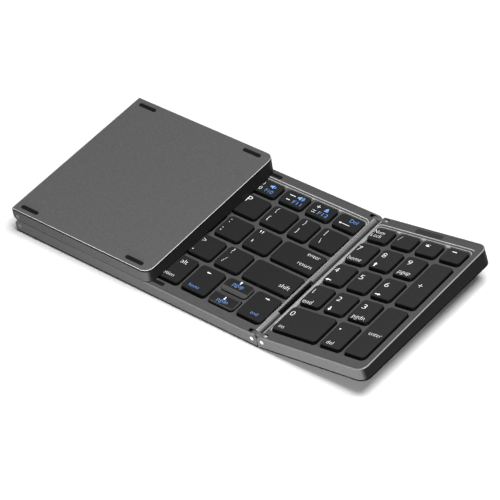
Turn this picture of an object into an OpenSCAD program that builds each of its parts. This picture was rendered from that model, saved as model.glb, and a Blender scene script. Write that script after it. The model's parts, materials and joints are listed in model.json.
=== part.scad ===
// Folding keyboard in three wedge-shaped sections. The middle section stands on the desk, the
// letter section folds over it from the left and the number section from the right, each on
// two-pin hinge links. All sizes are in millimetres.
//
// Every section is drawn flat in its own frame: x runs from the hinge edge, y from the front
// edge to the back, and z = 0 is the top of its deck. The placing modules set it in the pose.

/* [Sections] */
// Depth of every section, front edge to back edge
depth = 120; // [112:1:130]
// Width of the middle section, from fold to fold
base_w = 192.6; // [192:0.2:204]
// Width of the letter section that folds over from the left
left_w = 111.5; // [104:0.5:112]
// Width of the number section that folds over from the right
right_w = 79.6; // [76:0.2:80]
// Thickness of a section at its front edge
front_t = 9; // [9:0.1:10]
// Thickness of a section at its back edge
back_t = 11.6; // [11.4:0.1:12.6]
// Radius of the two free corners of a side section
corner_r = 6; // [4:0.5:7]

/* [Pose] */
// Angle through which the letter section is folded over the middle
left_fold = 180; // [0:1:180]
// Angle through which the number section is lifted from flat
right_fold = 9.9; // [0:0.1:30]

/* [Hinges] */
// Depth of every hinge axis below the deck, also the radius of the section's nose
axis_drop = 3.6; // [3.4:0.1:3.7]
// Gap between two decks when they are folded, and between two noses when open
fold_gap = 0.4; // [0.3:0.1:0.6]
// Radius of a hinge pin
pin_r = 1.25; // [1:0.05:1.4]
// Radial running clearance of a pin in the wall and lug that it turns in
pin_clear = 0.05; // [0.02:0.01:0.1]
// Half height of a hinge link, which is round at both ends
link_r = 3.2; // [2.8:0.1:3.3]
// Thickness of a hinge link
link_t = 2; // [1.6:0.1:2.2]
// Room round a link in its slot
link_room = 0.3; // [0.2:0.05:0.4]

/* [Shells] */
// Width of the case rim that shows round a deck
rim = 1.1; // [1:0.1:1.4]
// Chamfer on the rim's outer edge
rim_chamfer = 0.4; // [0.2:0.1:0.6]
// Thickness of a deck plate
deck_t = 0.8; // [0.6:0.1:0.9]
// Depth of the key well below the deck
well_depth = 2; // [1.8:0.1:2.2]
// Radius of the well's corners
well_r = 4; // [3:0.5:5]
// Thickness of a bottom cover
cover_t = 1; // [0.8:0.1:1.2]
// Height of the shadow groove between a cover and its case
groove_h = 0.4; // [0.3:0.1:0.5]
// Inset of the shadow groove
groove_in = 0.6; // [0.4:0.1:0.8]
// Chamfer on the cover's outer edge
cover_chamfer = 0.4; // [0.2:0.1:0.6]

/* [Keys] */
// Gap between keys in one row
key_gap = 2.6; // [2.2:0.1:3]
// Gap between rows
row_gap = 3.1; // [2.8:0.1:3.4]
// Corner radius of a key
key_r = 2.6; // [2:0.1:3]
// Depth of the key tops below the deck
key_drop = 0.1; // [0.05:0.05:0.2]
// Travel of a key
key_travel = 1.5; // [1.2:0.1:1.6]
// Distance that the top of a key's front face leans back
front_slope = 0.9; // [0.4:0.1:1.2]
// Depth of the front row
front_row_d = 22.35; // [21:0.05:23]
// Depth of the number row at the back
back_row_d = 12.5; // [12:0.1:13]
// Gap between the keys of the half-height arrow pair
arrow_gap = 1.2; // [1:0.1:1.6]

/* [Feet] */
// Length of a rubber foot or deck pad
foot_l = 13.6; // [12:0.1:14]
// Width of a rubber foot or deck pad
foot_w = 2.5; // [2.2:0.1:3]
// Height of a foot below its cover
foot_h = 0.6; // [0.5:0.1:0.8]

/* [Hidden] */
// roundness of the small and of the large round parts
$fn = 48;
eps = 0.01;

// wedge: the bottom falls away from the deck towards the back
wedge = atan((back_t - front_t) / depth);
function thick_at(y) = front_t + (back_t - front_t) * y / depth;

// hinge axes, in the frame of the open middle section
axis_span = 2 * axis_drop + fold_gap;
left_axis = [axis_drop, 0, -axis_drop];
left_far_axis = left_axis - [axis_span, 0, 0];
right_axis = [base_w - axis_drop, 0, -axis_drop];
right_far_axis = right_axis + [axis_span, 0, 0];

// hinge link slots, measured from the front edge and mirrored at the back
slot_y0 = 1.5;
slot_w = link_t + 2 * link_room;
slot_y1 = slot_y0 + slot_w;
slot_reach = axis_drop + link_r + link_room;
lug_y1 = slot_y1 + 2;
pin_l = lug_y1 - 0.1;
rail_y0 = slot_y1 + 0.1;
block_x = 9.4;
block_y = lug_y1 + 0.3;

// window in the nose rail of the middle section, and the slot that the flat cable leaves by
window_y = [23, 53.8];
window_web = 0.5;
window_room = 1.2;
cable_slot_z = [-4.9, -axis_drop];

// inner steps of a case: under the deck, beside the key mat, and below it
step_in = 2.2;
ledge_in = 3.6;
hinge_wall = 3.3;
hinge_ledge = 5.8;
mat_z = -5;
mat_t = 0.5;
mat_floor = mat_z - mat_t;
mat_slack = 0.2;
seat_h = cover_t + groove_h;
slack = 0.05;
rail_w = 2.7;
side_deck_x = 1.9;

// key well: distance from the hinge edge, the free edge, and the front and back edges. The
// shallow step round its floor is wide at the back and at the free edge of a side section
tub_room = 0.1;
well_rail = rail_w + deck_t + tub_room;
well_nose = side_deck_x + deck_t + tub_room;
well_free = 3.2;
well_end = 7;
step = 0.5;
wide_step = 1.6;
step_depth = 0.5;
floor_z = -well_depth;
tub_z = floor_z - deck_t;

// key field: distance of the keys from the same edges
key_rail = 4.8;
key_nose = 3.8;
key_free = 6.4;
key_front = 8.8;
key_back = 9.55;
key_skirt = 0.6;
key_top_t = 1;
key_wall = 1;
key_chamfer = 0.35;
key_room = 0.3;
key_foot_z = floor_z - key_skirt;
pad_gap = 3;
slope = [3, 1];
homing = [2.6, 0.6, 0.2];
homing_y = 4.9;

// domes of the key mat, drawn a little lower than under a fully pressed key
dome_r = 3.2;
dome_top_r = 2;
dome_play = 0.5;
dome_h = -mat_z - key_drop - key_top_t - key_travel - dome_play;

// feet and pads: distance of their ends and centres from the edges
foot_front = 4.4;
foot_back = 5.3;
foot_nose = 4.7;
foot_free = 7.2;
pad_h = 0.3;
pad_x = 112.1;
post_r = 1.6;

// electronics in the middle section
battery_size = [88, 38, 2.9];
battery_at = [20, 46];
battery_r = 1.5;
board_size = [76, 20, 0.8];
board_back = 3.9;
chip_at = [14, 6];
chip = [7, 7, 0.9];
plug_at = [2, 4];
plug = [6, 13, 1.2];
port = [8.9, 3.2];
port_l = 7.3;
port_r = 1.2;
port_wall = 0.3;
port_inset = 0.4;
port_room = 0.1;
tongue_t = 0.7;
tongue_in = 1.2;
cable_t = 0.3;

// indicator window in the number section's deck
led = [20.3, 3.7];
led_x = 28.8;
led_back = 6;
led_r = 1;
led_flange = 1;

// rows of keys, front row first: [node, width or 0 for a share]
PAIR = "half-height arrows";
PLAIN = "covered";
HOME = "covered, with a homing bar";
K = [PLAIN, 0];
base_rows = [
  [K, [PLAIN, 18.2], [PLAIN, 18.2], ["key_arrow_left", 18.35], [PAIR, 19],
   ["key_arrow_right", 18.35]],
  [K, K, K, K, K, K, ["key_slash", 18.9], ["key_shift", 35.6]],
  [K, K, [HOME, 0], K, K, K, ["key_quote", 0], ["key_enter", 31.3]],
  [K, K, K, K, K, ["key_p", 0], ["key_bracket_left", 18.85], ["key_bracket_right", 14.1],
   ["key_backslash", 18.9]],
  [K, K, K, K, K, K, ["key_minus", 0], ["key_equals", 0], ["key_backspace", 0]]
];
// the letter section's rows run from its hinge outwards
left_rows = [
  [K, [PLAIN, 16], [PLAIN, 16], [PLAIN, 16], [PLAIN, 16]],
  [K, K, K, [PLAIN, 36]],
  [[HOME, 0], K, K, K, K],
  [K, K, K, K, K],
  [K, K, K, K, K]
];
// number pad: [node, column, row, columns wide, rows deep]
pad_grid = [
  ["pad_0", 0, 0, 2, 1], ["pad_point", 2, 0, 1, 1], ["pad_enter", 3, 0, 1, 2],
  ["pad_1", 0, 1, 1, 1], ["pad_2", 1, 1, 1, 1], ["pad_3", 2, 1, 1, 1],
  ["pad_4", 0, 2, 1, 1], ["pad_5", 1, 2, 1, 1], ["pad_6", 2, 2, 1, 1], ["pad_plus", 3, 2, 1, 2],
  ["pad_7", 0, 3, 1, 1], ["pad_8", 1, 3, 1, 1], ["pad_9", 2, 3, 1, 1],
  ["pad_num_lock", 0, 4, 1, 1], ["pad_divide", 1, 4, 1, 1], ["pad_multiply", 2, 4, 1, 1],
  ["pad_minus", 3, 4, 1, 1]
];

function sum(v, i = 0) = i >= len(v) ? 0 : v[i] + sum(v, i + 1);

// rows: their depths and fronts
letter_row_d = (depth - key_front - key_back - front_row_d - back_row_d - 4 * row_gap) / 3;
row_ds = [front_row_d, letter_row_d, letter_row_d, letter_row_d, back_row_d];
function row_y(i) = key_front + sum([for (j = [0:1:i - 1]) row_ds[j] + row_gap]);

// keys of one row, each as [node, x, y, width, depth]
function shared_w(row, span) =
  (span - sum([for (k = row) k[1]]) - key_gap * (len(row) - 1))
  / max(1, len([for (k = row) if (k[1] == 0) k]));
function width_of(k, w) = k[1] == 0 ? w : k[1];
function key_x(row, i, w) =
  i == 0 ? 0 : key_x(row, i - 1, w) + width_of(row[i - 1], w) + key_gap;
function pair_keys(x, y, w, d) =
  let (down = (d - arrow_gap + front_slope) / 2, up_y = y + down + arrow_gap)
  [["key_arrow_down", x, y, w, down], ["key_arrow_up", x, up_y, w, y + d - up_y]];
function row_keys(row, i, x0, x1) =
  let (w = shared_w(row, x1 - x0))
  [for (n = [0:len(row) - 1])
    let (k = row[n], x = x0 + key_x(row, n, w))
    each k[0] == PAIR ? pair_keys(x, row_y(i), width_of(k, w), row_ds[i])
                      : [[k[0], x, row_y(i), width_of(k, w), row_ds[i]]]];
function all_keys(rows, x0, x1) =
  [for (i = [0:len(rows) - 1]) each row_keys(rows[i], i, x0, x1)];

base_keys = all_keys(base_rows, key_rail, base_w - key_rail);
letter_keys = all_keys(left_rows, key_nose, left_w - key_free);
pad_w = (right_w - key_nose - key_free - 3 * pad_gap) / 4;
pad_keys = [for (k = pad_grid)
  let (last = k[2] + k[4] - 1)
  [k[0], key_nose + k[1] * (pad_w + pad_gap), row_y(k[2]),
   k[3] * pad_w + (k[3] - 1) * pad_gap, row_y(last) + row_ds[last] - row_y(k[2])]];
function is_covered(k) = k[0] == PLAIN || k[0] == HOME;
covered_keys = [for (k = base_keys) if (is_covered(k)) k];
open_keys = [for (k = base_keys) if (!is_covered(k)) k];

// finishes
SHELL = [0.36, 0.36, 0.37];
DECK = [0.32, 0.32, 0.33];
BRIGHT = [0.66, 0.66, 0.67];
STEEL = [0.85, 0.85, 0.86];
KEYCAP = [0.17, 0.17, 0.18];
RUBBER = [0.11, 0.11, 0.12];
MAT = [0.28, 0.28, 0.3];
SMOKED = [0.22, 0.22, 0.23];
BOARD = [0.08, 0.28, 0.18];
CELL = [0.72, 0.74, 0.76];
CABLE = [0.1, 0.1, 0.1];

// ---- placing ----------------------------------------------------------------------------

// the part stands on z = 0 and is centred on the origin: its widest and frontmost points are
// on the lifted number section, its rearmost one on the middle section
function turn(p, a) = [p[0] * cos(a) + p[2] * sin(a), p[1], p[2] * cos(a) - p[0] * sin(a)];
function lean(p) = [p[0], p[1] * cos(wedge) - p[2] * sin(wedge), p[1] * sin(wedge) + p[2] * cos(wedge)];
function lifted(p) =
  right_axis + turn([axis_span, 0, 0], -right_fold / 2)
  + turn(p - [axis_drop, 0, -axis_drop], -right_fold) + [0, 0, front_t];
far_corner = depth - corner_r;
end_x = lifted([right_w, far_corner, cover_chamfer - thick_at(far_corner)])[0];
front_y = lean(lifted([right_w - corner_r, 0, -rim_chamfer]))[1];
back_y = lean([0, depth, front_t + seat_h - back_t])[1];
centre = [end_x / 2, (front_y + back_y) / 2];

// the middle section's frame: bottom level, standing on its feet
module in_base() {
  translate([-centre[0], -centre[1], foot_h]) rotate([wedge, 0, 0]) translate([0, 0, front_t])
    children();
}

// turned about an axis that runs from front to back
module turned(axis, a) {
  translate(axis) rotate([0, a, 0]) translate(-axis) children();
}

module on_left_links() {
  in_base() turned(left_axis, left_fold / 2) children();
}

// a left section part, drawn from its hinge edge outwards
module in_left() {
  on_left_links() turned(left_far_axis, left_fold / 2) translate([-fold_gap, 0, 0])
    mirror([1, 0, 0]) children();
}

module on_right_links() {
  in_base() turned(right_axis, -right_fold / 2) children();
}

module in_right() {
  on_right_links() turned(right_far_axis, -right_fold / 2)
    translate([base_w + fold_gap, 0, 0]) children();
}

// a frame with z = 0 on the outside of the bottom cover and z up into the section
module on_bottom() {
  translate([0, 0, -front_t]) rotate([-wedge, 0, 0]) children();
}

// ---- plain shapes -------------------------------------------------------------------------

module round_rect(x, y, w, d, r) {
  translate([x + r, y]) square([w - 2 * r, d]);
  translate([x, y + r]) square([w, d - 2 * r]);
  for (i = [r, w - r], j = [r, d - r]) translate([x + i, y + j]) circle(r);
}

// section outline with square hinge corners: both edges of the middle, one of a side section
module outline(w, both, inset, hinge_inset) {
  far = both ? hinge_inset : inset;
  r = max(corner_r - inset, 0.5);
  if (both)
    translate([hinge_inset, inset]) square([w - 2 * hinge_inset, depth - 2 * inset]);
  else {
    translate([hinge_inset, inset]) square([w - hinge_inset - far - r, depth - 2 * inset]);
    translate([hinge_inset, inset + r])
      square([w - hinge_inset - far, depth - 2 * inset - 2 * r]);
    for (j = [inset + r, depth - inset - r]) translate([w - far - r, j]) circle(r);
  }
}

// slab of an outline between two heights
module slab(z0, z1) {
  translate([0, 0, z0]) linear_extrude(z1 - z0) children();
}

// profile across x, drawn along y
module along_y(y0, y1) {
  translate([0, y1, 0]) rotate([90, 0, 0]) linear_extrude(y1 - y0) children();
}

// profile across y, drawn along x
module along_x(x0, x1) {
  translate([x0, 0, 0]) rotate([90, 0, 90]) linear_extrude(x1 - x0) children();
}

module chamfered_profile(a, b, h, c) {
  polygon([[a, 0], [b, 0], [b, h - c], [b - c, h], [a + c, h], [a, h - c]]);
}

// block rounded in plan, its top edge chamfered all round
module chamfered_block(w, d, h, r, c) {
  along_y(r, d - r) chamfered_profile(0, w, h, c);
  along_x(r, w - r) chamfered_profile(0, d, h, c);
  for (i = [r, w - r], j = [r, d - r]) translate([i, j, 0]) {
    cylinder(r = r, h = h - c);
    translate([0, 0, h - c]) cylinder(r1 = r, r2 = r - c, h = c);
  }
}

// full outline of a section, h high, its top edge chamfered but for the hinge ends
module section_block(w, both, h, c) {
  if (both) along_x(0, w) chamfered_profile(0, depth, h, c);
  else intersection() {
    translate([-corner_r, 0, 0]) chamfered_block(w + corner_r, depth, h, corner_r, c);
    translate([0, -1, -1]) cube([w + 1, depth + 2, h + 2]);
  }
}

// foot or pad, centred
module pill(h) {
  slab(0, h) round_rect(-foot_l / 2, -foot_w / 2, foot_l, foot_w, foot_w / 2 - eps);
}

// both hinge ends of the middle section, or the one of a side section
module hinge_ends(w, both) {
  children();
  if (both) translate([w, 0, 0]) mirror([1, 0, 0]) children();
}

// the front end and the back end of a fold
module both_corners() {
  children();
  translate([0, depth, 0]) mirror([0, 1, 0]) children();
}

// ---- section shells -----------------------------------------------------------------------

// rounds the hinge edge over, from the deck down to the axis
module nose_cut() {
  difference() {
    translate([-1, -1, -axis_drop]) cube([axis_drop + 1, depth + 2, axis_drop + 1]);
    translate([axis_drop, -2, -axis_drop]) rotate([-90, 0, 0])
      cylinder(r = axis_drop, h = depth + 4);
  }
}

// bore that a hinge pin turns in, through the wall and the lug behind the slot
module pin_bore() {
  translate([axis_drop, -1, -axis_drop]) rotate([-90, 0, 0])
    cylinder(r = pin_r + pin_clear, h = lug_y1 + 1);
}

// slot that a hinge link swings in
module link_slot() {
  translate([-1, slot_y0, -axis_drop - link_r - link_room])
    cube([slot_reach + 1, slot_w, axis_drop + link_r + link_room + 1]);
}

// solid corner block round the slot, grown by some margin
module corner_block(margin) {
  translate([-1, -1, -back_t - 3])
    cube([block_x + 1 + margin, block_y + 1 + margin, back_t + 4]);
}

// slot in the hinge wall that the flat cable leaves by
module cable_slot() {
  translate([-1, window_y[0] + window_room / 2, cable_slot_z[0]])
    cube([hinge_ledge + 2, window_y[1] - window_y[0] - window_room,
      cable_slot_z[1] - cable_slot_z[0]]);
}

// recess for the nose rail of the middle section
module rail_recess() {
  translate([-1, slot_y1, -axis_drop]) cube([rail_w + 1, depth - 2 * slot_y1, axis_drop + 1]);
}

// room inside a case, which leaves a ledge for the deck and one for the key mat
module case_room(w, both) {
  difference() {
    union() {
      slab(mat_floor, -deck_t + eps) outline(w, both, step_in, hinge_wall);
      slab(-back_t - 2, mat_floor + eps) outline(w, both, ledge_in, hinge_ledge);
    }
    hinge_ends(w, both) both_corners() corner_block(0);
  }
}

// walls of a section; each hinge edge ends in a round nose, slotted for its two links
module section_case(w, both) {
  difference() {
    translate([0, 0, -back_t - 1]) section_block(w, both, back_t + 1, rim_chamfer);
    on_bottom() translate([-1, -1, seat_h - back_t]) cube([w + 2, depth + 3, back_t]);
    case_room(w, both);
    slab(-deck_t, 1) outline(w, both, rim, deck_x(both));
    slab(tub_z - tub_room, 1) well(w, both, deck_t + tub_room);
    hinge_ends(w, both) {
      nose_cut();
      both_corners() {
        link_slot();
        pin_bore();
      }
      cable_slot();
    }
    children();
  }
}

// distance of the deck from a hinge edge: behind the rail, or over the nose
function deck_x(both) = both ? rail_w : side_deck_x;

// outline of the key well, grown by some margin
module well(w, both, grow) {
  near = both ? well_rail : well_nose;
  far = both ? well_rail : well_free;
  round_rect(near - grow, well_end - grow, w - near - far + 2 * grow,
    depth - 2 * well_end + 2 * grow, well_r + grow);
}

// opening round a key in the floor of the well
module key_opening(k) {
  round_rect(k[1] - key_room, k[2] - key_room, k[3] + 2 * key_room, k[4] + 2 * key_room,
    key_r + key_room);
}

// floor of the well, inside the step
module well_floor(w, both) {
  near = (both ? well_rail : well_nose) + step;
  far = both ? near : well_free + wide_step;
  front = well_end + step;
  round_rect(near, front, w - near - far, depth - front - well_end - wide_step, well_r - step);
}

// pressed deck plate: a flat border, a two-step well and a floor with an opening for each key
module section_deck(w, both, keys) {
  difference() {
    union() {
      slab(-deck_t, 0) outline(w, both, rim + slack, deck_x(both) + slack);
      slab(tub_z, 0) well(w, both, deck_t);
    }
    slab(-step_depth, 1) well(w, both, 0);
    slab(floor_z, 1) well_floor(w, both);
    slab(tub_z - 1, floor_z + 1)
      for (k = keys) key_opening(k);
    hinge_ends(w, both) {
      nose_cut();
      both_corners() link_slot();
    }
    children();
  }
}

// bottom cover: a chamfered plate, the inset step of the shadow groove, and support posts
module section_cover(w, both, posts) {
  on_bottom() {
    translate([0, 0, cover_t]) mirror([0, 0, 1]) section_block(w, both, cover_t, cover_chamfer);
    slab(cover_t - eps, seat_h) outline(w, both, groove_in, groove_in);
  }
  for (p = posts)
    translate([p[0], p[1], cover_t - thick_at(p[1])])
      cylinder(r = post_r, h = thick_at(p[1]) - cover_t + mat_floor);
}

// rubber key mat with one dome under each key
module section_mat(w, both, keys) {
  difference() {
    slab(mat_floor, mat_z) outline(w, both, step_in + mat_slack, hinge_wall + mat_slack);
    hinge_ends(w, both) both_corners() corner_block(mat_slack);
  }
  for (k = keys)
    translate([k[1] + k[3] / 2, k[2] + k[4] / 2, mat_z - eps])
      cylinder(r1 = dome_r, r2 = dome_top_r, h = dome_h);
}

// feet under a cover, in the cover's own frame
module section_feet(w, both) {
  far = both ? foot_nose : foot_free;
  on_bottom()
    for (x = [foot_nose + foot_l / 2, w - far - foot_l / 2], y = [foot_front, depth - foot_back])
      translate([x, y, -foot_h]) pill(foot_h);
}

// ---- keys ---------------------------------------------------------------------------------

// hollow keycap with a chamfered top and, but for the back one of the arrow pair, a front
// face that leans back
module keycap(k) {
  h = -key_drop - key_foot_z;
  lean_y = k[0] == "key_arrow_up" ? 0 : front_slope;
  front_wall = key_wall + lean_y;
  translate([k[1], k[2], key_foot_z]) {
    difference() {
      if (lean_y == 0) chamfered_block(k[3], k[4], h, key_r, key_chamfer);
      else leaned_block(k[3], k[4], h);
      slab(-1, h - key_top_t)
        round_rect(key_wall, front_wall, k[3] - 2 * key_wall, k[4] - key_wall - front_wall,
          key_r - key_wall);
      if (k[0] == "key_arrow_down") translate([0, k[4], h]) facing_slope(k[3]);
      if (k[0] == "key_arrow_up") translate([0, 0, h]) mirror([0, 1, 0]) facing_slope(k[3]);
    }
    if (k[0] == HOME || k[0] == "pad_5")
      translate([(k[3] - homing[0]) / 2, homing_y - homing[1] / 2, h - eps])
        cube([homing[0], homing[1], homing[2] + eps]);
  }
}

// block whose front face leans back, its corners round and its top edge chamfered
module leaned_block(w, d, h) {
  spare = 2 * key_r;
  c = key_chamfer;
  grow = 1 + front_slope / h;
  mid_y = front_slope * (h - c) / h;
  difference() {
    intersection() {
      translate([0, -spare, 0]) chamfered_block(w, d + spare, h, key_r, c);
      rotate([-atan(front_slope / h), 0, 0])
        slab(-spare, d / 2 + spare) round_rect(0, 0, w, d + spare, key_r);
    }
    along_x(-1, w + 1) polygon([[mid_y - c * grow, h - 2 * c], [mid_y + 2 * c * grow, h + c],
      [mid_y - c * grow, h + c]]);
  }
}

// slope that the two half-height arrow keys turn to each other
module facing_slope(w) {
  along_x(-1, w + 1) polygon([[-slope[0], 0], [1, -slope[1] * (1 + 1 / slope[0])], [1, 1],
    [-slope[0], 1]]);
}

module keycaps(keys) {
  for (k = keys) keycap(k);
}

// ---- hinges -------------------------------------------------------------------------------

// two-pin links of one fold, one at each end; a and b are the axes
module hinge_links(a, b) {
  both_corners() difference() {
    union() {
      for (p = [a, b])
        translate([p[0], slot_y0 + link_room, p[2]]) rotate([-90, 0, 0])
          cylinder(r = link_r, h = link_t);
      translate([min(a[0], b[0]), slot_y0 + link_room, a[2] - link_r])
        cube([axis_span, link_t, 2 * link_r]);
    }
    for (p = [a, b])
      translate([p[0], 0, p[2]]) rotate([-90, 0, 0]) cylinder(r = pin_r, h = lug_y1);
  }
}

// pins, flush with the outside of the walls and pressed into the links
module hinge_pins(a, b) {
  both_corners()
    for (p = [a, b])
      translate([p[0], 0, p[2]]) rotate([-90, 0, 0]) cylinder(r = pin_r, h = pin_l);
}

// quarter-round rail on a nose of the middle section, with the cable window
module nose_rail() {
  difference() {
    along_y(rail_y0, depth - rail_y0) intersection() {
      translate([axis_drop, -axis_drop]) circle(axis_drop);
      translate([0, -axis_drop]) square([rail_w - slack, axis_drop]);
    }
    translate([-1, window_y[0], -axis_drop - 1])
      cube([rail_w - window_web + 1, window_y[1] - window_y[0], axis_drop + 2]);
    both_corners() pin_bore();
  }
}

// flat cable: level inside the case, then curling up in the window of the rail
module flat_cable() {
  bend_r = axis_drop - 1;
  y0 = window_y[0] + window_room;
  y1 = window_y[1] - window_room;
  mid_z = cable_slot_z[0] + 0.5;
  along_y(y0, y1) {
    translate([axis_drop - bend_r, mid_z]) square([block_x, cable_t]);
    translate([axis_drop - bend_r, mid_z]) square([cable_t, -axis_drop - mid_z]);
    intersection() {
      difference() {
        translate([axis_drop, -axis_drop]) circle(bend_r);
        translate([axis_drop, -axis_drop]) circle(bend_r - cable_t);
      }
      translate([0, -axis_drop]) square([rail_w - window_web - mat_slack, axis_drop]);
    }
  }
}

// ---- middle section -----------------------------------------------------------------------

module base_case() {
  color(SHELL) in_base() section_case(base_w, true) {
    hinge_ends(base_w, true) rail_recess();
    at_port() port_section(port_room, port_l + port_inset + 2);
  }
}

// place of the charging socket, its outer end at z = 0 and its inner end along z
module at_port() {
  on_bottom() translate([(base_w - port[0]) / 2, depth, seat_h + board_size[2]])
    rotate([90, 0, 0]) children();
}

module port_section(grow, l) {
  slab(-2, l)
    round_rect(-grow, -grow, port[0] + 2 * grow, port[1] + 2 * grow, port_r + grow);
}

module base_deck() {
  color(DECK) in_base() section_deck(base_w, true, base_keys);
}

module base_cover() {
  posts = [[14, 20], [14, 60], [14, 100], [70, 20], [122, 20], [150, 50], [150, 84],
           [178, 20], [178, 60], [178, 100]];
  color(SHELL) in_base() section_cover(base_w, true, posts);
}

module base_feet() {
  color(RUBBER) in_base() section_feet(base_w, true);
}

// pads that the free edges of both side sections come down on
module base_deck_pads() {
  color(RUBBER) in_base()
    for (y = [foot_front, depth - foot_front]) translate([pad_x, y, 0]) pill(pad_h);
}

module base_key_mat() {
  color(MAT) in_base() section_mat(base_w, true, base_keys);
}

module base_hinge_rails() {
  color(BRIGHT) in_base() hinge_ends(base_w, true) nose_rail();
}

module flat_cables() {
  color(CABLE) in_base() hinge_ends(base_w, true) flat_cable();
}

module battery() {
  color(CELL) in_base() on_bottom()
    translate([battery_at[0], battery_at[1], seat_h])
      slab(0, battery_size[2]) round_rect(0, 0, battery_size[0], battery_size[1], battery_r);
}

// circuit board with its controller and the two flat-cable connectors
module main_board() {
  color(BOARD) in_base() on_bottom()
    translate([(base_w - board_size[0]) / 2, depth - board_back - board_size[1], seat_h]) {
      cube(board_size);
      translate([chip_at[0], chip_at[1], 0]) cube(chip + [0, 0, board_size[2]]);
      for (x = [plug_at[0], board_size[0] - plug_at[0] - plug[0]])
        translate([x, plug_at[1], 0]) cube(plug + [0, 0, board_size[2]]);
    }
}

// socket shell with its contact tongue
module charging_socket() {
  color(STEEL) in_base() at_port() translate([0, 0, port_inset]) {
    difference() {
      translate([0, 0, 2]) port_section(0, port_l - 2);
      port_section(-port_wall, port_l - port_wall);
    }
    translate([tongue_in, (port[1] - tongue_t) / 2, tongue_in])
      cube([port[0] - 2 * tongue_in, tongue_t, port_l - tongue_in]);
  }
}

module base_covered_keys() {
  color(KEYCAP) in_base() keycaps(covered_keys);
}

module base_key(k) {
  color(KEYCAP) in_base() keycap(k);
}

// ---- letter section -----------------------------------------------------------------------

module left_case() {
  color(SHELL) in_left() section_case(left_w, false);
}

module left_deck() {
  color(DECK) in_left() section_deck(left_w, false, letter_keys);
}

module left_cover() {
  posts = [for (x = [16, 55, 96], y = [24, 60, 98]) [x, y]];
  color(SHELL) in_left() section_cover(left_w, false, posts);
}

module left_feet() {
  color(RUBBER) in_left() section_feet(left_w, false);
}

module left_key_mat() {
  color(MAT) in_left() section_mat(left_w, false, letter_keys);
}

module left_keys() {
  color(KEYCAP) in_left() keycaps(letter_keys);
}

module left_hinge_links() {
  color(STEEL) on_left_links() hinge_links(left_axis, left_far_axis);
}

module left_hinge_pins() {
  color(STEEL) on_left_links() hinge_pins(left_axis, left_far_axis);
}

// ---- number section -----------------------------------------------------------------------

module right_case() {
  color(SHELL) in_right() section_case(right_w, false);
}

module right_deck() {
  color(DECK) in_right() section_deck(right_w, false, pad_keys)
    slab(-deck_t - 1, 1) led_outline(slack, 0);
}

module led_outline(grow, flange) {
  round_rect(led_x - grow - flange, depth - led_back - grow, led[0] + 2 * (grow + flange),
    led[1] + 2 * grow, led_r);
}

// smoked window, flush with the deck, on a flange under it
module indicator_window() {
  color(SMOKED) in_right() {
    slab(-deck_t - eps, 0) led_outline(0, 0);
    slab(-2 * deck_t, -deck_t) led_outline(-2 * slack, led_flange);
  }
}

module right_cover() {
  posts = [for (x = [16, 64], y = [24, 60, 98]) [x, y]];
  color(SHELL) in_right() section_cover(right_w, false, posts);
}

module right_feet() {
  color(RUBBER) in_right() section_feet(right_w, false);
}

module right_key_mat() {
  color(MAT) in_right() section_mat(right_w, false, pad_keys);
}

module right_hinge_links() {
  color(STEEL) on_right_links() hinge_links(right_axis, right_far_axis);
}

module right_hinge_pins() {
  color(STEEL) on_right_links() hinge_pins(right_axis, right_far_axis);
}

module pad_key(k) {
  color(KEYCAP) in_right() keycap(k);
}

// ---- nodes --------------------------------------------------------------------------------

base_case();
base_deck();
base_cover();
base_feet();
base_deck_pads();
base_key_mat();
base_hinge_rails();
flat_cables();
battery();
main_board();
charging_socket();
left_case();
left_deck();
left_cover();
left_feet();
left_key_mat();
right_case();
right_deck();
right_cover();
right_feet();
right_key_mat();
indicator_window();
left_hinge_links();
left_hinge_pins();
right_hinge_links();
right_hinge_pins();
left_keys();
base_covered_keys();
for (k = open_keys)
  base_key(k);
for (k = pad_keys)
  pad_key(k);
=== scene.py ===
"""Looks of a folding keyboard: finishes for its moulded shells, deck plates, keys and hinges,
the legends printed on the keys, and a plain pale studio."""

import json
import math

import bmesh
import bpy
from mathutils import Matrix, Vector


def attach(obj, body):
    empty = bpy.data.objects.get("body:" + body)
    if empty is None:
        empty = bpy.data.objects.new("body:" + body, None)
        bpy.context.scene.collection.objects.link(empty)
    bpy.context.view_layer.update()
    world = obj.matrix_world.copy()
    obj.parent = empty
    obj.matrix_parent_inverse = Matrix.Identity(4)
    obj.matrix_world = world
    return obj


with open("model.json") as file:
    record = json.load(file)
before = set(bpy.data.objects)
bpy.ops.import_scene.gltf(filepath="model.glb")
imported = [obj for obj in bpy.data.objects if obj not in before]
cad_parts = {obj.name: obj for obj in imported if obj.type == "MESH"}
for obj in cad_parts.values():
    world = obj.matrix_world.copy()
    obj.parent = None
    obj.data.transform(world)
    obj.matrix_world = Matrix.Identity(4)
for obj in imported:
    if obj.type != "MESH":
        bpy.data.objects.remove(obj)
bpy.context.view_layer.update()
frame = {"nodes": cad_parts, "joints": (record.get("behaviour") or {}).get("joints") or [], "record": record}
nodes = frame["nodes"]

MM = 0.001

# outside of the sections, in millimetres: all are as deep, and thicker at the back
DEPTH = 120.0
FRONT_THICK = 9.0
BACK_THICK = 11.6
MIDDLE_W = 192.6
LETTER_W = 111.5
NUMBER_W = 79.6
NOSE_R = 3.6
FREE_CORNER = 6.0

# a hinge axis is this far in from the hinge edge, halfway to the back, and below the deck
AXIS_IN = 3.6
AXIS_Y = DEPTH / 2
AXIS_DROP = 3.6

# slots that the hinge links swing in, at the front and back end of a hinge edge
SLOT_SIDES = (1.45, 4.15)
SLOT_REACH = 7.15
SLOT_HEIGHTS = (-7.2, -0.04)

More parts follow.
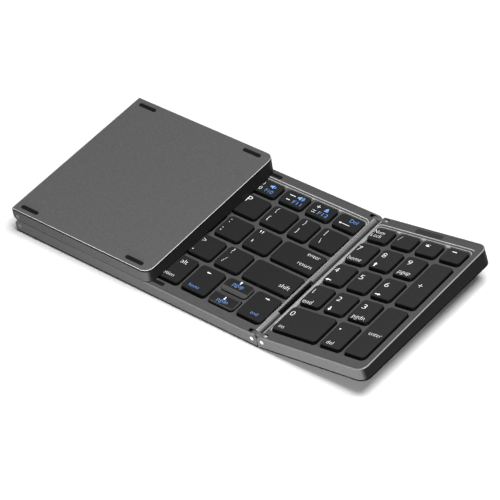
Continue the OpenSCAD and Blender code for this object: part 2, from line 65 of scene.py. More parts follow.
# key wells: how far their walls are in from the edges of a section, and their low inner step
RIM = 1.1
WELL_END = 7.0
WELL_RAIL = 3.6
WELL_NOSE = 2.8
WELL_FREE = 3.2
WELL_R = 4.0
STEP = 0.5
WIDE_STEP = 1.6
WELL_FLOOR = -2.0
WELL_STEP = -0.5
KEY_TOP = -0.1

# how the sections lie: the middle one leans by the wedge of its bottom, the number section is
# lifted from it, and the letter section is folded right over
WEDGE = math.atan((BACK_THICK - FRONT_THICK) / DEPTH)
LIFT = math.radians(9.9)
MIDDLE_TURN = Matrix.Rotation(WEDGE, 3, "X")
NUMBER_TURN = MIDDLE_TURN @ Matrix.Rotation(-LIFT, 3, "Y")
LETTER_TURN = MIDDLE_TURN @ Matrix.Rotation(math.pi, 3, "Y")


def laid(joint, turn, axis_in=AXIS_IN):
    """Frame of a section in its own millimetres: x to the right from its hinge edge, y from
    the front edge, and z up from the deck."""
    spot = next(j["pos_m"] for j in frame["joints"] if j["name"] == joint)
    home = Matrix.Translation((-axis_in, -AXIS_Y, AXIS_DROP))
    return Matrix.Translation(spot) @ turn.to_4x4() @ Matrix.Diagonal((MM, MM, MM, 1)) @ home


MIDDLE = laid("left_fold_inner", MIDDLE_TURN)
NUMBER = laid("right_fold_outer", NUMBER_TURN)
LETTER = laid("left_fold_outer", LETTER_TURN, -AXIS_IN)

# a section as seen from its other side, so that x runs in from the edge
OTHER_WAY = Matrix.Diagonal((-1, 1, 1, 1))
MIDDLE_END = MIDDLE @ Matrix.Translation((MIDDLE_W, 0, 0)) @ OTHER_WAY
LETTER_IN = LETTER @ OTHER_WAY

# the outside of a bottom cover is level with z = 0, and the section is above it
BOTTOM = Matrix.Translation((0, 0, -FRONT_THICK)) @ Matrix.Rotation(-WEDGE, 4, "X")

# hinge edges of each section: their place in x, and the way in from them
MIDDLE_HINGES = ((0.0, 1), (MIDDLE_W, -1))
NUMBER_HINGES = ((0.0, 1),)
LETTER_HINGES = ((0.0, -1),)


# ---- finishes -----------------------------------------------------------------------------


class Wire:
    """A socket in a node tree, on which plain arithmetic works."""

    def __init__(self, owner, socket):
        self.owner = owner
        self.socket = socket

    def _sum(self, operation, first, second):
        return self.owner.add(
            "ShaderNodeMath", {"operation": operation}, {0: first, 1: second}
        )

    def __add__(self, other):
        return self._sum("ADD", self, other)

    __radd__ = __add__

    def __sub__(self, other):
        return self._sum("SUBTRACT", self, other)

    def __rsub__(self, other):
        return self._sum("SUBTRACT", other, self)

    def __mul__(self, other):
        return self._sum("MULTIPLY", self, other)

    __rmul__ = __mul__

    def __gt__(self, other):
        return self._sum("GREATER_THAN", self, other)

    def __lt__(self, other):
        return self._sum("LESS_THAN", self, other)

    def within(self, low, high):
        return (self > low) * (self < high)


class ShaderTree:
    """A node tree, with the one way in which nodes are added to it."""

    def __init__(self, tree):
        self.tree = tree

    def add(self, kind, settings, inputs, output=0):
        """Adds a node: its settings are set first, then its sockets are filled or linked."""
        node = self.tree.nodes.new(kind)
        for key, value in settings.items():
            setattr(node, key, value)
        for key, value in inputs.items():
            if isinstance(value, Wire):
                self.link(value, node.inputs[key])
            else:
                node.inputs[key].default_value = value
        return Wire(self, node.outputs[output])

    def link(self, wire, socket):
        self.tree.links.new(wire.socket, socket)


# a Mix node's sockets for colours
FIRST_COLOUR, SECOND_COLOUR, MIXED_COLOUR = 6, 7, 2

# noises of moulded and brushed surfaces: how fine they are, and how much they change
MOTTLE, MOTTLE_TINT = 180.0, 0.06
GLOSS, GLOSS_CHANGE = 420.0, 0.1
MOULD_RELIEF = 0.35
BRUSH, BRUSH_TINT, BRUSH_GLOSS, BRUSH_RELIEF = 900.0, 0.08, 0.16, 0.3
SPECK, SPECK_STRETCH, SPECK_TINT, BAND_TINT = 1100.0, (0.45, 1.0, 1.0), 0.22, 0.1


class Finish(ShaderTree):
    """One material: constants on its shader, and patterns added as wires."""

    def __init__(self, name, colour, roughness, metallic=0.0, **constants):
        self.material = bpy.data.materials.new(name)
        self.material.use_nodes = True
        super().__init__(self.material.node_tree)
        self.shader = self.tree.nodes["Principled BSDF"]
        self.colour = (*colour, 1.0)
        self.roughness = roughness
        self.shader.inputs["Base Color"].default_value = self.colour
        self.shader.inputs["Roughness"].default_value = roughness
        self.shader.inputs["Metallic"].default_value = metallic
        for socket, value in constants.items():
            self.shader.inputs[socket.replace("_", " ")].default_value = value
        self.material.diffuse_color = self.colour

    def feed(self, socket, wire):
        self.link(wire, self.shader.inputs[socket])

    def place(self):
        """Where on the object a point is, in metres."""
        return self.add("ShaderNodeTexCoord", {}, {}, "Object")

    def noise(self, scale, detail=2.0, stretch=(1.0, 1.0, 1.0)):
        place = self.add("ShaderNodeMapping", {}, {"Vector": self.place(), "Scale": stretch})
        return self.add(
            "ShaderNodeTexNoise",
            {},
            {"Vector": place, "Scale": scale, "Detail": detail, "Roughness": 0.5},
            "Fac",
        )

    def along(self, section, axis):
        """Where a point is along an axis of a section, in millimetres."""
        way = section.to_3x3() @ Vector(axis)
        way.normalize()
        reach = self.add(
            "ShaderNodeVectorMath",
            {"operation": "DOT_PRODUCT"},
            {0: self.place(), 1: way},
            "Value",
        )
        return (reach - way.dot(section.translation)) * (1 / MM)

    def height(self, section):
        return self.along(section, (0, 0, 1))

    def ramp(self, value, start, end):
        """Rises smoothly from 0 to 1 between two values."""
        return self.add(
            "ShaderNodeMapRange",
            {"interpolation_type": "SMOOTHSTEP"},
            {"Value": value, "From Min": start, "From Max": end},
        )

    def mix(self, factor, first, second):
        return self.add(
            "ShaderNodeMix",
            {"data_type": "RGBA"},
            {"Factor": factor, FIRST_COLOUR: first, SECOND_COLOUR: second},
            MIXED_COLOUR,
        )

    def tinted(self, colour, pattern, amount):
        """A colour lightened and darkened by a share, as the pattern goes from 0 to 1."""
        dark = tuple(c * (1 - amount) for c in colour[:3]) + (1.0,)
        light = tuple(min(1.0, c * (1 + amount)) for c in colour[:3]) + (1.0,)
        return self.mix(pattern, dark, light)

    def tint(self, pattern, amount):
        self.feed("Base Color", self.tinted(self.colour, pattern, amount))

    def vary_roughness(self, pattern, amount):
        self.feed("Roughness", self.roughness - amount / 2 + pattern * amount)

    def relief(self, height, depth, strength):
        bump = {"Strength": strength, "Distance": depth, "Height": height}
        self.feed("Normal", self.add("ShaderNodeBump", {}, bump))

    def mould(self, grain, depth):
        """Uneven gloss and a fine grain, as on moulded or coated parts."""
        self.vary_roughness(self.noise(GLOSS, 3.0), GLOSS_CHANGE)
        self.relief(self.noise(grain), depth, MOULD_RELIEF)


def satin(name, colour, roughness, grain, depth, **constants):
    """Fine-grained moulding or coating with a faint mottling."""
    finish = Finish(name, colour, roughness, **constants)
    finish.tint(finish.noise(MOTTLE), MOTTLE_TINT)
    finish.mould(grain, depth)
    return finish


def brushed(name, colour, roughness, stretch, depth):
    """Metal with fine lines along one direction."""
    finish = Finish(name, colour, roughness, metallic=1.0)
    lines = finish.noise(BRUSH, 3.0, stretch)
    finish.vary_roughness(lines, BRUSH_GLOSS)
    finish.tint(lines, BRUSH_TINT)
    finish.relief(lines, depth, BRUSH_RELIEF)
    return finish


# the three case walls are one moulding: their greys differ only as painted light and shade, lightest on the
# number section and darkest on the letter section
LETTER_CASE_GREY = (0.105, 0.105, 0.107)
MIDDLE_CASE_GREY = (0.118, 0.118, 0.12)
NUMBER_CASE_GREY = (0.13, 0.13, 0.132)
COVER_GREY = (0.105, 0.105, 0.107)
# painted highlight on the chamfered edge of a cover
COVER_EDGE_HIGHLIGHT = (0.6, 0.6, 0.605)
# painted highlight on the chamfer round a case's rim
RIM_EDGE_HIGHLIGHT = (0.16, 0.16, 0.163)
# painted highlight on the rim chamfer at a free end, and painted shade on the end wall under it
PAINTED_END_HIGHLIGHT = (0.36, 0.36, 0.364)
PAINTED_END_SHADE = (0.013, 0.013, 0.013)
SHADE_BLACK = (0.008, 0.008, 0.008)
DECK_GREY = (0.08, 0.08, 0.082)
# painted highlights on the upper and lower walls round a key well
WELL_WALL_HIGHLIGHT = (0.4, 0.4, 0.405)
WELL_FOOT_HIGHLIGHT = (0.7, 0.7, 0.705)
KEY_BLACK = (0.02, 0.02, 0.0205)
PAD_BLACK = (0.028, 0.028, 0.0285)
# painted shade on the sides of the keys
KEY_SIDE_SHADE = (0.004, 0.004, 0.004)
# painted light on the upper slope at the sides of the arrow keys
KEY_SLOPE_PAINTED_LIGHT = (0.06, 0.06, 0.062)

# bands of painted highlight and shade, by their lowest and highest place above a deck or an outer face
RIM_EDGE = (-0.37, -0.03)
UPPER_WALL = (WELL_STEP + 0.02, -0.02)
LOWER_WALL = (WELL_FLOOR + 0.02, WELL_STEP - 0.02)
COVER_EDGE = (0.03, 0.25)
# painted shade on a cover's wall and inset step, above its chamfer
COVER_STEP = (0.27, 9.0)
KEY_EDGE = KEY_TOP - 0.06
KEY_SLOPE = KEY_TOP - 1.2
CASE_BANDS = ((RIM_EDGE, RIM_EDGE_HIGHLIGHT),)
DECK_BANDS = ((UPPER_WALL, WELL_WALL_HIGHLIGHT), (LOWER_WALL, WELL_FOOT_HIGHLIGHT))
COVER_BANDS = ((COVER_EDGE, COVER_EDGE_HIGHLIGHT), (COVER_STEP, SHADE_BLACK))
# painted shade on the sides of the keys; the arrow keys also have painted light on their upper slope
KEY_SIDES = (((-9.0, KEY_EDGE), KEY_SIDE_SHADE),)
SLOPED_KEY_SIDES = (
    ((-9.0, KEY_SLOPE), KEY_SIDE_SHADE),
    ((KEY_SLOPE, KEY_EDGE), KEY_SLOPE_PAINTED_LIGHT),
)

# how far before a free end its painted shade starts, and where it is fully dark
END_START, END_FULL = 2.6, 0.6

CASE_GRAIN = (2600.0, 0.00003)


def link_slots(finish, section, hinges):
    """1 inside the slots that the hinge links swing in, at the given hinge edges."""
    across = finish.along(section, (0, 1, 0))
    low, high = SLOT_SIDES
    inside = across.within(low, high) + across.within(DEPTH - high, DEPTH - low)
    near = sum(
        finish.along(section, (way, 0, 0)) < way * edge + SLOT_REACH for edge, way in hinges
    )
    return inside * near * finish.height(section).within(*SLOT_HEIGHTS)


def banded(name, section, colour, bands, roughness, end=0.0, hinges=(), **constants):
    """Speckled moulding with bands of painted highlight and shade above its section's deck, painted
    shade in the hinge link slots, and at a free end painted shade on its wall and a painted highlight on its
    rim."""
    finish = Finish(name, colour, roughness, **constants)
    finish.mould(*CASE_GRAIN)
    height = finish.height(section)
    speck = finish.noise(SPECK, 3.0, SPECK_STRETCH)
    patches = [(height.within(low, high), other) for (low, high), other in bands]
    if end:
        reach = finish.along(section, (math.copysign(1, end), 0, 0))
        # painted shade on the end wall near a free end, and a painted highlight on its rim chamfer
        painted_end_zone = finish.ramp(reach, abs(end) - END_START, abs(end) - END_FULL)
        patches.append((painted_end_zone * (height < RIM_EDGE[0]), PAINTED_END_SHADE))
        patches.append((painted_end_zone * height.within(*RIM_EDGE), PAINTED_END_HIGHLIGHT))
    if hinges:
        # painted shade inside the hinge link slots
        patches.append((link_slots(finish, section, hinges), SHADE_BLACK))
    shade = finish.tinted(colour, speck, SPECK_TINT)
    for patch, other in patches:
        shade = finish.mix(patch, shade, finish.tinted(other, speck, BAND_TINT))
    finish.feed("Base Color", shade)
    return finish


def case_finish(name, section, colour, hinges, end=0.0):
    """Moulded grey case wall, with a painted highlight on the chamfer round its rim."""
    return banded(
        name, section, colour, CASE_BANDS, 0.42, end, hinges, Specular_IOR_Level=0.04
    )


def cover_finish(name, section):
    """Moulded grey cover, with a painted highlight on its chamfered edge and painted shade on its wall and
    inset step.
    """
    return banded(
        name, section @ BOTTOM, COVER_GREY, COVER_BANDS, 0.56, Specular_IOR_Level=0.03
    )


def deck_finish(name, section, hinges):
    """Grey deck plate, with painted highlights on the walls round its key well."""
    return banded(
        name, section, DECK_GREY, DECK_BANDS, 0.45, hinges=hinges, Specular_IOR_Level=0.2
    )


# keycaps, with painted shade on their sides and, on sloped ones, painted light on the slope
def key_finish(name, section, sides, colour=KEY_BLACK):
    return banded(name, section, colour, sides, 0.6, Specular_IOR_Level=0.1)


# how brightly printed ink glows, so that it reads where its strokes are thin
INK_GLOW = 0.35


def ink(name, colour):
    glow = {"Emission_Color": (*colour, 1.0), "Emission_Strength": INK_GLOW}
    return satin(name, colour, 0.6, 3000.0, 0.00001, **glow)


letter_case = case_finish("letter_case", LETTER, LETTER_CASE_GREY, LETTER_HINGES, -LETTER_W)
middle_case = case_finish("middle_case", MIDDLE, MIDDLE_CASE_GREY, MIDDLE_HINGES)
number_case = case_finish("number_case", NUMBER, NUMBER_CASE_GREY, NUMBER_HINGES, NUMBER_W)
letter_cover = cover_finish("letter_cover", LETTER)
middle_cover = cover_finish("middle_cover", MIDDLE)
number_cover = cover_finish("number_cover", NUMBER)
letter_deck = deck_finish("letter_deck", LETTER, LETTER_HINGES)
middle_deck = deck_finish("middle_deck", MIDDLE, MIDDLE_HINGES)
number_deck = deck_finish("number_deck", NUMBER, NUMBER_HINGES)
letter_keycap = key_finish("letter_keycap", LETTER, KEY_SIDES)
middle_keycap = key_finish("middle_keycap", MIDDLE, KEY_SIDES)
arrow_keycap = key_finish("arrow_keycap", MIDDLE, SLOPED_KEY_SIDES)
number_keycap = key_finish("number_keycap", NUMBER, KEY_SIDES, PAD_BLACK)
# painted highlights along the edges of the key wells and their steps
well_edge_highlight = satin("well_edge_highlight", (0.6, 0.6, 0.605), 0.35, 2600.0, 0.00001)
step_edge_highlight = satin("step_edge_highlight", (0.5, 0.5, 0.505), 0.35, 2600.0, 0.00001)
# dark lines for the gaps and seams, also used for the painted shade strips at the noses
gap_and_shade_line = satin("gap_and_shade_line", (0.02, 0.02, 0.02), 0.6, 2600.0, 0.00001)
rail_grey = brushed("rail_grey", (0.195, 0.195, 0.198), 0.5, (1.0, 0.15, 1.0), 0.00001)
link_grey = brushed("link_grey", (0.42, 0.42, 0.425), 0.52, (0.15, 1.0, 1.0), 0.00002)
pin_steel = brushed("pin_steel", (0.9, 0.9, 0.9), 0.35, (0.15, 1.0, 1.0), 0.00001)
pin_grey = satin("pin_grey", (0.16, 0.16, 0.165), 0.4, 2600.0, 0.00002)
socket_steel = brushed("socket_steel", (0.72, 0.72, 0.73), 0.3, (0.15, 1.0, 1.0), 0.00002)
rubber_black = satin(
    "rubber_black", (0.006, 0.006, 0.006), 0.62, 1800.0, 0.00006, Specular_IOR_Level=0.2
)
mat_grey = satin("mat_grey", (0.03, 0.03, 0.031), 0.7, 1500.0, 0.00005)
smoked_grey = satin("smoked_grey", (0.04, 0.04, 0.042), 0.3, 2200.0, 0.00001)
cable_black = satin(
    "cable_black", (0.002, 0.002, 0.002), 0.5, 1200.0, 0.00002, Specular_IOR_Level=0.1
)
cell_foil = satin("cell_foil", (0.42, 0.44, 0.47), 0.34, 500.0, 0.00008, metallic=0.6)
board_green = satin("board_green", (0.02, 0.12, 0.06), 0.28, 700.0, 0.00004)
legend_white = ink("legend_white", (0.9, 0.9, 0.9))
legend_blue = ink("legend_blue", (0.17, 0.36, 0.8))

FINISH_OF_SLOT = {
    "rail": rail_grey,
    "rubber": rubber_black,
    "mat": mat_grey,
    "smoked": smoked_grey,
    "cable": cable_black,
    "cell": cell_foil,
    "board": board_green,
    "keycap": middle_keycap,
}
FINISH_OF_NODE = {
    "base_case": middle_case,
    "right_case": number_case,
    "left_case": letter_case,
    "base_cover": middle_cover,
    "right_cover": number_cover,
    "left_cover": letter_cover,
    "base_deck": middle_deck,
    "right_deck": number_deck,
    "left_deck": letter_deck,
    "left_keys": letter_keycap,
    "key_arrow_up": arrow_keycap,
    "key_arrow_down": arrow_keycap,
    "charging_socket": socket_steel,
    "left_hinge_links": link_grey,
    "right_hinge_links": link_grey,
    "left_hinge_pins": pin_grey,
    "right_hinge_pins": pin_steel,
}
for subpart in frame["record"]["subparts"]:
    node = subpart["node"]
    if node.startswith("pad_"):
        finish = number_keycap
    else:
        finish = FINISH_OF_NODE.get(node) or FINISH_OF_SLOT[subpart["material_slot"]]
    nodes[node].data.materials.clear()
    nodes[node].data.materials.append(finish.material)


# ---- pieces and fine lines ----------------------------------------------------------------


def new_piece(name, bm, *finishes):
    """Makes an object of a shape that is already in its place."""
    mesh = bpy.data.meshes.new(name)
    bm.to_mesh(mesh)
    bm.free()
    for finish in finishes:
        mesh.materials.append(finish.material)
    piece = bpy.data.objects.new(name, mesh)
    bpy.context.scene.collection.objects.link(piece)
    return piece


def face_up(bm, section):
    """Turns the faces of a flat shape to the upper side of its section."""
    up = section.to_3x3() @ Vector((0, 0, 1))
    for face in bm.faces:
        face.normal_update()
        if face.normal.dot(up) < 0:
            face.normal_flip()


# lines lie this far above the surface under them
LINE_LIFT = 0.012
EDGE_WIDTH = 0.42
GAP_WIDTH = 0.26
GAP_FREE = 6.0

# shade under the right fold's noses, in degrees from the top and by its ends in y
NOSE_SHADE = (36.0, 84.0)
NOSE_SHADE_STEPS = 8
NOSE_SHADES = (
    ("nose_shade_corner", "base", MIDDLE_END, 0.3, 1.45),
    ("nose_shade_front", "right_section", NUMBER, 8.0, 22.0),
    ("nose_shade_back", "right_section", NUMBER, 55.0, 112.0),
)

# dark seam between the middle section's deck and its rail, which falls towards the rail
SEAM_X = (189.02, 189.83)
SEAM_Y = (8.0, 112.0)
SEAM_Z = (LINE_LIFT, -0.085)


def line_round(name, body, section, box, radius, height, ends, front, finish, width=EDGE_WIDTH):
    """Thin line along a rounded rectangle: the part of it between two ends in x, and behind
    a place in y."""
    low_x, high_x, low_y, high_y = box
    bm = bmesh.new()
    corners = []
    for x, y in ((low_x, low_y), (high_x, low_y), (high_x, high_y), (low_x, high_y)):
        corners.append(bm.verts.new((x, y, height)))
    bm.faces.new(corners)
    bmesh.ops.bevel(
        bm,
        geom=corners,
        offset=radius,
        offset_type="OFFSET",
        segments=10,
        profile=0.5,
        affect="VERTICES",
        material=-1,
    )
    bmesh.ops.inset_individual(bm, faces=bm.faces[:], thickness=width, use_even_offset=True)
    inner = max(bm.faces, key=lambda face: len(face.verts))
    bmesh.ops.delete(bm, geom=[inner], context="FACES")
    left_end, right_end = ends
    cuts = (
        ((left_end, 0, 0), (-1, 0, 0)),
        ((right_end, 0, 0), (1, 0, 0)),
        ((0, front, 0), (0, -1, 0)),
    )
    for place, way in cuts:
        bmesh.ops.bisect_plane(
            bm,
            geom=list(bm.verts) + list(bm.edges) + list(bm.faces),
            plane_co=place,
            plane_no=way,
            clear_outer=True,
        )
    bm.transform(section)
    face_up(bm, section)
    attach(new_piece(name, bm, finish), body)


def deck_lines(word, body, section, width, both):
    """Painted highlights along the edges of a section's key well and its step, and the gap round
    its deck. The section has a nose at both ends, or only at x = 0."""
    near = WELL_RAIL if both else WELL_NOSE
    far = width - (WELL_RAIL if both else WELL_FREE)
    ends = (NOSE_R, width - NOSE_R) if both else (WELL_NOSE, far - WIDE_STEP)
    well = (
        near - EDGE_WIDTH,
        far + EDGE_WIDTH,
        WELL_END - EDGE_WIDTH,
        DEPTH - WELL_END + EDGE_WIDTH,
    )
    step = (
        near + STEP - EDGE_WIDTH,
        far - (STEP if both else WIDE_STEP) + EDGE_WIDTH,
        WELL_END + STEP - EDGE_WIDTH,
        DEPTH - WELL_END - WIDE_STEP + EDGE_WIDTH,
    )
    deck = (0, width if both else width - RIM, RIM, DEPTH - RIM)
    gap_start = NOSE_R + GAP_FREE
    gap_ends = (gap_start, width - gap_start if both else width)
    step_r = WELL_R - STEP + EDGE_WIDTH
    line_round(
        f"{word}_well_edge", body, section, well, WELL_R + EDGE_WIDTH, LINE_LIFT, ends,
        2 * WELL_END, well_edge_highlight,
    )
    line_round(
        f"{word}_step_edge", body, section, step, step_r, WELL_STEP + LINE_LIFT, ends,
        2 * WELL_END, step_edge_highlight,
    )
    line_round(
        f"{word}_deck_gap", body, section, deck, FREE_CORNER - RIM, LINE_LIFT, gap_ends, 0,
        gap_and_shade_line, GAP_WIDTH,
    )


def nose_shade(name, body, section, low_y, high_y):
    """Dark strip round the side of a section's nose, where it faces the next one."""
    reach = NOSE_R + LINE_LIFT
    start, end = (math.radians(turn) for turn in NOSE_SHADE)
    axis = Vector((AXIS_IN, 0, -AXIS_DROP))
    top = axis + Vector((-reach * math.sin(start), 0, reach * math.cos(start)))
    bm = bmesh.new()
    ends = [bm.verts.new(top + Vector((0, y, 0))) for y in (low_y, high_y)]
    edge = bm.edges.new(ends)
    bmesh.ops.spin(
        bm,
        geom=ends + [edge],
        cent=axis,
        axis=(0, 1, 0),
        angle=start - end,
        steps=NOSE_SHADE_STEPS,
        use_duplicate=False,
    )
    for face in bm.faces:
        face.normal_update()
        away = face.calc_center_median() - axis
        away.y = 0
        if face.normal.dot(away) < 0:
            face.normal_flip()
    bm.transform(section)
    if section.determinant() < 0:
        bmesh.ops.reverse_faces(bm, faces=bm.faces)
    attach(new_piece(name, bm, gap_and_shade_line), body)


def rail_seam():
    """Dark strip that falls from one height to another across its width."""
    across, fall = SEAM_X[1] - SEAM_X[0], SEAM_Z[1] - SEAM_Z[0]
    slope = math.atan(fall / across)
    middle = [sum(ends) / 2 for ends in (SEAM_X, SEAM_Y, SEAM_Z)]
    bm = bmesh.new()
    bmesh.ops.create_grid(bm, x_segments=1, y_segments=1, size=0.5)
    bm.transform(Matrix.Diagonal((across / math.cos(slope), SEAM_Y[1] - SEAM_Y[0], 1, 1)))
    bm.transform(Matrix.Rotation(-slope, 4, "Y"))
    bm.transform(MIDDLE @ Matrix.Translation(middle))
    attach(new_piece("rail_seam", bm, gap_and_shade_line), "base")


for shade in NOSE_SHADES:
    nose_shade(*shade)
rail_seam()
deck_lines("middle", "base", MIDDLE, MIDDLE_W, True)
deck_lines("number", "right_section", NUMBER, NUMBER_W, False)
deck_lines("letter", "left_section", LETTER_IN, LETTER_W, False)


# ---- legends ------------------------------------------------------------------------------

WHITE_INK = 0
BLUE_INK = 1
INK_LIFT = 0.03

# letters are made this much thinner, as a share of their size
LETTER_THINNING = -0.019


def letters_mesh(words):
    """Flat letters of one line."""
    curve = bpy.data.curves.new("legend", "FONT")
    curve.body = words
    curve.resolution_u = 3
    curve.fill_mode = "FRONT"
    curve.offset = LETTER_THINNING
    letters = bpy.data.objects.new("legend", curve)
    bpy.context.scene.collection.objects.link(letters)
    graph = bpy.context.evaluated_depsgraph_get()
    mesh = bpy.data.meshes.new_from_object(letters.evaluated_get(graph))
    bpy.data.objects.remove(letters)
    bpy.data.curves.remove(curve)
    return mesh


# outlines of the signs, each in its own units
ARROW_SHAFT = ((0, -0.1), (0.66, -0.1), (0.66, 0.1), (0, 0.1))
ARROW_HEAD = ((0.55, -0.3), (1, 0), (0.55, 0.3))
LONG_SHAFT = ((0.12, -0.022), (1, -0.022), (1, 0.022), (0.12, 0.022))
LONG_HEAD = ((0, 0), (0.17, -0.1), (0.17, 0.1))
SPEAKER = ((-0.5, -0.2), (-0.25, -0.2), (0.05, -0.48), (0.05, 0.48), (-0.25, 0.2), (-0.5, 0.2))
EJECT_TOP = ((0, 0.35), (1, 0.35), (0.5, 1))
EJECT_BAR = ((0, 0), (1, 0), (1, 0.22), (0, 0.22))
SQUARE = ((0, 0), (1, 0), (1, 1), (0, 1))
WAVE_R, WAVE_PITCH, WAVE_WIDTH = 0.28, 0.22, 0.1
WAVE_HALF, WAVE_STEPS = math.radians(50), 10


def sign_mesh(*outlines, quarters=0, waves=0):
    """Flat shape of one or more closed outlines, turned by some quarter turns, with some
    sound waves round its middle."""
    bm = bmesh.new()
    for outline in outlines:
        bm.faces.new([bm.verts.new((x, y, 0)) for x, y in outline])
    for n in range(waves):
        radius = WAVE_R + WAVE_PITCH * n
        ends = [bm.verts.new((r, 0, 0)) for r in (radius + WAVE_WIDTH, radius)]
        edge = bm.edges.new(ends)
        bmesh.ops.rotate(bm, verts=ends, matrix=Matrix.Rotation(-WAVE_HALF, 3, "Z"))
        bmesh.ops.spin(
            bm,
            geom=ends + [edge],
            cent=(0, 0, 0),
            axis=(0, 0, 1),
            angle=2 * WAVE_HALF,
            steps=WAVE_STEPS,
            use_duplicate=False,
        )
    bm.transform(Matrix.Rotation(quarters * math.pi / 2, 4, "Z"))
    mesh = bpy.data.meshes.new("sign")
    bm.to_mesh(mesh)
    bm.free()
    return mesh


SIGNS = {
    "arrow right": lambda: sign_mesh(ARROW_SHAFT, ARROW_HEAD),
    "arrow up": lambda: sign_mesh(ARROW_SHAFT, ARROW_HEAD, quarters=1),
    "arrow left": lambda: sign_mesh(ARROW_SHAFT, ARROW_HEAD, quarters=2),
    "arrow down": lambda: sign_mesh(ARROW_SHAFT, ARROW_HEAD, quarters=3),
    "long arrow": lambda: sign_mesh(LONG_SHAFT, LONG_HEAD),
    "speaker": lambda: sign_mesh(SPEAKER, waves=1),
    "loud speaker": lambda: sign_mesh(SPEAKER, waves=2),
    "eject": lambda: sign_mesh(EJECT_TOP, EJECT_BAR),
    "bar": lambda: sign_mesh(SQUARE),
}


def legends(body, section, marks):
    """Prints the marks on the keys of one body. A mark is its words, the place of its lower
    left in the section's millimetres, its width and height, and its ink. It keeps its
    proportions where one of the two is None."""
    bm = bmesh.new()
    for words, x, y, width, height, ink_number in marks:
        mesh = SIGNS[words]() if words in SIGNS else letters_mesh(words)
        low_x, high_x = (f(v.co.x for v in mesh.vertices) for f in (min, max))
        low_y, high_y = (f(v.co.y for v in mesh.vertices) for f in (min, max))
        across = width / (high_x - low_x) if width else height / (high_y - low_y)
        along = height / (high_y - low_y) if height else across
        mesh.transform(Matrix.Translation((-low_x, -low_y, 0)))
        mesh.transform(Matrix.Diagonal((across, along, 1, 1)))
        mesh.transform(section @ Matrix.Translation((x, y, KEY_TOP + INK_LIFT)))
        before = len(bm.faces)
        bm.from_mesh(mesh)
        bm.faces.ensure_lookup_table()
        for face in bm.faces[before:]:
            face.material_index = ink_number
        bpy.data.meshes.remove(mesh)
    face_up(bm, section)
    bmesh.ops.dissolve_degenerate(bm, edges=bm.edges, dist=0.001 * MM)
    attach(new_piece(f"legend_{body}", bm, legend_white, legend_blue), body)


# marks of the keys that are bodies of their own
MIDDLE_MARKS = {
    "key_minus": [
        ("bar", 132.25, 106.6, 4.4, 0.45, WHITE_INK),
        ("bar", 132.45, 102.3, 2.9, 0.5, WHITE_INK),
        ("loud speaker", 138.3, 105.3, 4.9, 3.4, BLUE_INK),
        ("F11", 137.8, 101.0, 6.1, 2.8, BLUE_INK),
    ],
    "key_equals": [
        ("+", 153.0, 105.5, None, 2.8, WHITE_INK),
        ("=", 152.7, 101.4, 2.5, 1.8, WHITE_INK),
        ("eject", 159.5, 105.3, 2.7, 3.2, BLUE_INK),
        ("F12", 157.3, 101.0, 7.2, 2.8, BLUE_INK),
    ],
    "key_backspace": [
        ("long arrow", 173.1, 101.8, 7.8, None, WHITE_INK),
        ("Del", 178.5, 105.6, 5.4, None, BLUE_INK),
    ],
    "key_p": [("P", 111.9, 88.2, None, 4.8, WHITE_INK)],
    "key_bracket_left": [
        ("{", 134.1, 88.9, None, 4.4, WHITE_INK),
        ("[", 134.1, 81.1, None, 4.1, WHITE_INK),
    ],
    "key_bracket_right": [
        ("}", 155.8, 88.9, None, 4.4, WHITE_INK),
        ("]", 155.8, 81.2, None, 4.1, WHITE_INK),
    ],
    "key_backslash": [
        ("|", 172.7, 88.0, None, 5.2, WHITE_INK),
        ("\\", 173.1, 81.3, None, 4.2, WHITE_INK),
    ],
    "key_quote": [
        ('"', 137.9, 70.0, None, 2.2, WHITE_INK),
        ("'", 138.5, 61.1, None, 2.2, WHITE_INK),
    ],
    "key_enter": [
        ("enter", 175.2, 69.3, 8.9, None, WHITE_INK),
        ("return", 174.4, 60.5, 10.0, None, WHITE_INK),
    ],
    "key_slash": [
        ("?", 134.2, 47.2, None, 4.0, WHITE_INK),
        ("/", 134.2, 38.7, None, 4.4, WHITE_INK),
    ],
    "key_shift": [("shift", 177.3, 39.5, 7.4, None, WHITE_INK)],
    "key_arrow_left": [
        ("arrow left", 133.4, 26.0, 3.1, 1.5, WHITE_INK),
        ("home", 130.8, 12.4, 7.5, None, BLUE_INK),
    ],
    "key_arrow_up": [
        ("arrow up", 156.3, 28.7, 1.7, 2.6, WHITE_INK),
        ("pgup", 153.5, 25.3, 7.5, None, BLUE_INK),
    ],
    "key_arrow_down": [
        ("arrow down", 156.3, 13.7, 1.6, 2.6, WHITE_INK),
        ("pgdn", 153.5, 10.5, 7.5, None, BLUE_INK),
    ],
    "key_arrow_right": [
        ("arrow right", 177.5, 27.0, 3.1, 1.4, WHITE_INK),
        ("end", 177.3, 13.3, 4.8, None, BLUE_INK),
    ],
}
